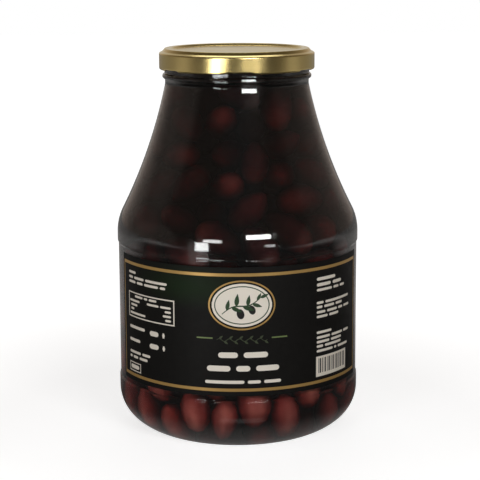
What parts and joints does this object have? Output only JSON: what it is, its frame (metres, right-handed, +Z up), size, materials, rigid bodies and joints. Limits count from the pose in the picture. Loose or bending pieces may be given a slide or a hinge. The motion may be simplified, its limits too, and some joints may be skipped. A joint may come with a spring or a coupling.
{
  "type": "glass jar of kalamata olives",
  "caption": "Large round glass jar with sloping shoulders, a gold twist-off cap and a dark wrap-round label, full of dark olives in brine.",
  "frame": {"origin": "centre of the base, on the surface that the jar stands on", "axes": "+Z up along the jar's axis, -Y towards the middle of the label, +X to the right seen from the front"},
  "size_m": [0.1458, 0.1458, 0.2317],
  "materials": {
    "glass": "clear, smooth",
    "gold_lacquer": "gold lacquer on tinplate, satin",
    "label_paper": "printed paper, slightly glossy",
    "olives": "dark wet olives in red-brown brine"
  },
  "bodies": {
    "root": {"jar_glass": "glass", "lid": "gold_lacquer", "label": "label_paper", "olives_in_brine": "olives"}
  },
  "joints": []
}
